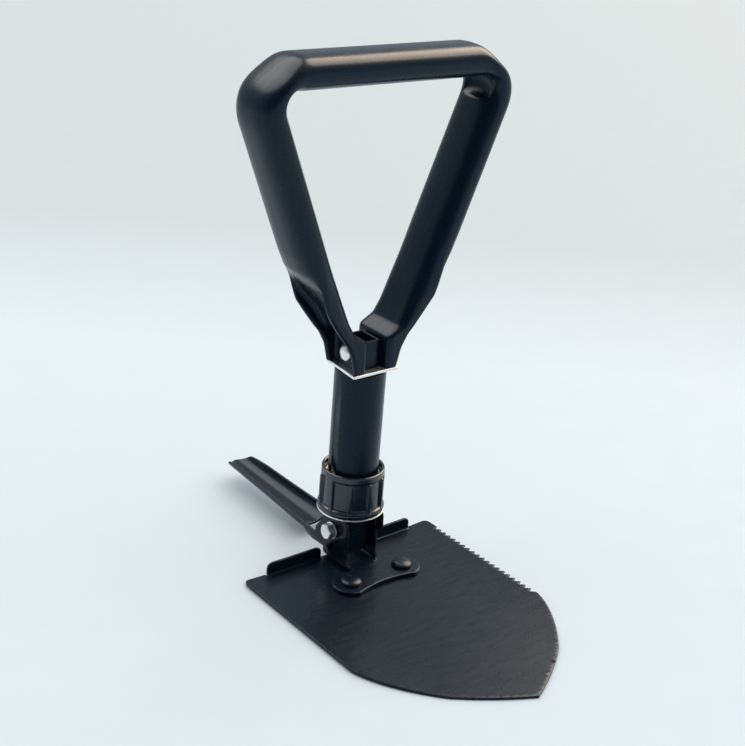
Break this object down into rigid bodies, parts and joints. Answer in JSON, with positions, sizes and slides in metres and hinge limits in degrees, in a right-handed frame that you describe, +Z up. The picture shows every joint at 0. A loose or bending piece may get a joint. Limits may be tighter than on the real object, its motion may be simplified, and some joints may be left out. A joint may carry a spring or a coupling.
{
  "type": "folding camp shovel",
  "caption": "Folding camp shovel with a saw-edged blade, trough pick, screw collar, sprung slider and triangular tube handle, standing on its blade.",
  "frame": {"origin": "on the shaft's axis at the ground, under the blade's flat middle", "axes": "+Z up along the shaft, -Y to the blade's tip, +Y to the pick's tip, +X to the saw edge; every hinge axis is along X"},
  "size_m": [0.1586, 0.2753, 0.2877],
  "materials": {
    "coated_steel": "satin",
    "collar_plastic": "semi-gloss",
    "bright_steel": "zinc plated",
    "guide_plastic": "matt"
  },
  "bodies": {
    "blade_group": {"blade": "coated_steel", "hinge_bracket": "coated_steel", "blade_rivet_left": "coated_steel", "blade_rivet_right": "coated_steel", "pivot_bolt": "bright_steel", "pivot_nut": "bright_steel", "pivot_washer_left": "bright_steel", "pivot_washer_right": "bright_steel"},
    "pick": {"pick": "coated_steel"},
    "shaft": {"hinge_lug": "coated_steel", "pivot_spacer": "bright_steel", "lug_pin": "bright_steel", "shaft_tube": "coated_steel", "threaded_sleeve": "bright_steel", "tube_end_plate": "bright_steel", "slider_guide": "guide_plastic", "spring_anchor_pin": "bright_steel"},
    "washer": {"thrust_washer": "bright_steel"},
    "collar": {"lock_collar": "collar_plastic"},
    "slider": {"slider_tube": "coated_steel", "slider_stop_pin": "bright_steel", "slider_spring": "bright_steel", "handle_pin": "bright_steel", "handle_pin_washer": "bright_steel"},
    "handle": {"handle": "coated_steel"}
  },
  "joints": [
    {"name": "shaft_fold", "type": "hinge", "parent": "blade_group", "child": "shaft", "pos_m": [0, -0.002, 0.023], "axis": [1, 0, 0], "range_deg": [0, 90]},
    {"name": "pick_fold", "type": "hinge", "parent": "shaft", "child": "pick", "pos_m": [0, -0.002, 0.023], "axis": [1, 0, 0], "range_deg": [0, 50]},
    {"name": "collar_travel", "type": "slide", "parent": "shaft", "child": "washer", "axis": [0, 0, 1], "range_m": [0, 0.009]},
    {"name": "collar_turn", "type": "hinge", "parent": "washer", "child": "collar", "pos_m": [0, 0, 0.047], "axis": [0, 0, 1], "range_deg": [0, 1080]},
    {"name": "handle_pull", "type": "slide", "parent": "shaft", "child": "slider", "axis": [0, 0, 1], "range_m": [0, 0.0297], "deforming": ["slider_spring"]},
    {"name": "handle_fold", "type": "hinge", "parent": "slider", "child": "handle", "pos_m": [0, 0, 0.1285], "axis": [-1, 0, 0], "range_deg": [0, 125]}
  ],
  "couplings": [
    {"joint": "collar_travel", "follows": "collar_turn", "m_per_rad": 0.00047746},
    {"joint": "handle_pull", "follows": "handle_fold", "m_per_rad": 0.0135}
  ]
}
